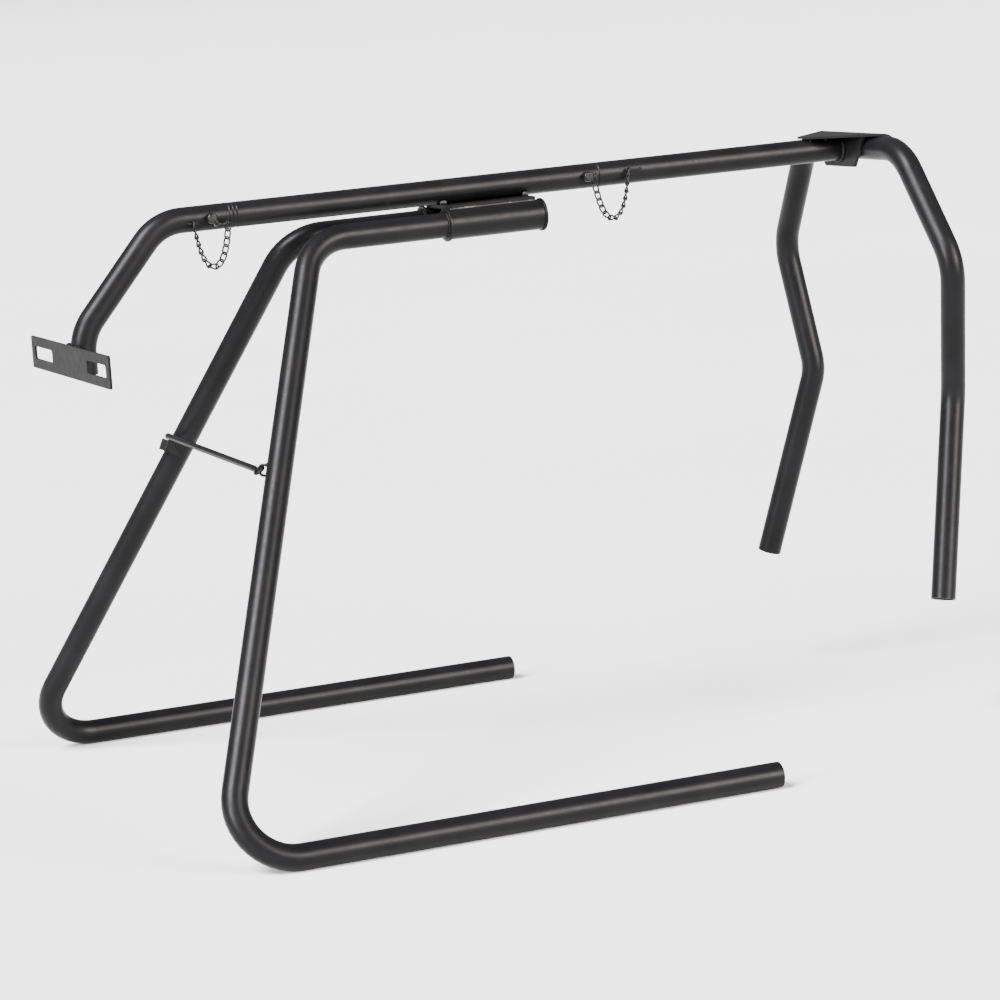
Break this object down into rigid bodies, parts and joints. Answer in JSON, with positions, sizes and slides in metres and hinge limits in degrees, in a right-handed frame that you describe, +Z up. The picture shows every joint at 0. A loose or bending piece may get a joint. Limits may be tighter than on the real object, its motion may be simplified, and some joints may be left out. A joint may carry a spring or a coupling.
{
  "type": "roping practice dummy frame",
  "caption": "Folding tubular steel frame with a back rail, bent neck and slotted head plate, arched hind legs, fold-in floor legs tied by a hooked spreader bar, and chained lock pins.",
  "frame": {"origin": "on the floor, under the middle of the frame's overall length and width", "axes": "+X from the head plate to the hind legs, +Y to the side away from the lock pin heads, +Z up"},
  "size_m": [1.1435, 0.8454, 0.7586],
  "materials": {
    "powder_coat": "satin black powder coat with a fine orange peel",
    "plate_coat": "flat black powder coat on sheared plate",
    "pin_steel": "black oxide steel, polished by handling",
    "chain_steel": "dark twisted link chain",
    "staple_steel": "welded wire under black powder coat"
  },
  "bodies": {
    "frame": {"centre_rail": "powder_coat", "neck_tube": "powder_coat", "head_plate": "plate_coat", "rear_rail": "powder_coat", "hind_leg_tube": "powder_coat", "hind_hood": "powder_coat", "hind_end_plate": "powder_coat", "saddle_plate": "powder_coat", "near_sleeve": "powder_coat", "far_sleeve": "powder_coat", "front_staple": "staple_steel", "rear_staple": "staple_steel", "front_chain": "chain_steel", "rear_chain": "chain_steel"},
    "near_leg": {"near_leg_tube": "powder_coat", "near_stop_collar": "powder_coat", "near_end_cap": "powder_coat", "near_leg_eye": "powder_coat"},
    "far_leg": {"far_leg_tube": "powder_coat", "far_stop_collar": "powder_coat", "far_end_cap": "powder_coat", "far_leg_catch": "powder_coat"},
    "spreader": {"spreader_bar": "powder_coat"},
    "front_pin": {"front_lock_pin": "pin_steel", "front_pin_ring": "pin_steel"},
    "rear_pin": {"rear_lock_pin": "pin_steel", "rear_pin_ring": "pin_steel"}
  },
  "joints": [
    {"name": "near_leg_fold", "type": "hinge", "parent": "frame", "child": "near_leg", "pos_m": [-0.0133, -0.0382, 0.69329], "axis": [0.9999, 0, 0.013], "range_deg": [0, 28]},
    {"name": "far_leg_fold", "type": "hinge", "parent": "frame", "child": "far_leg", "pos_m": [-0.0133, 0.0382, 0.69329], "axis": [-0.9999, 0, -0.013], "range_deg": [0, 28]},
    {"name": "spreader_swing", "type": "hinge", "parent": "near_leg", "child": "spreader", "pos_m": [-0.39518, -0.1632, 0.4315], "axis": [1, 0, 0], "range_deg": [0, 35]},
    {"name": "front_pin_pull", "type": "slide", "parent": "frame", "child": "front_pin", "axis": [0, -1, 0], "range_m": [0, 0.045], "deforming": ["front_chain"]},
    {"name": "rear_pin_pull", "type": "slide", "parent": "frame", "child": "rear_pin", "axis": [0, -1, 0], "range_m": [0, 0.045], "deforming": ["rear_chain"]}
  ],
  "couplings": [
    {"joint": "far_leg_fold", "follows": "near_leg_fold", "ratio": 1},
    {"joint": "spreader_swing", "follows": "near_leg_fold", "ratio": 1.25}
  ]
}
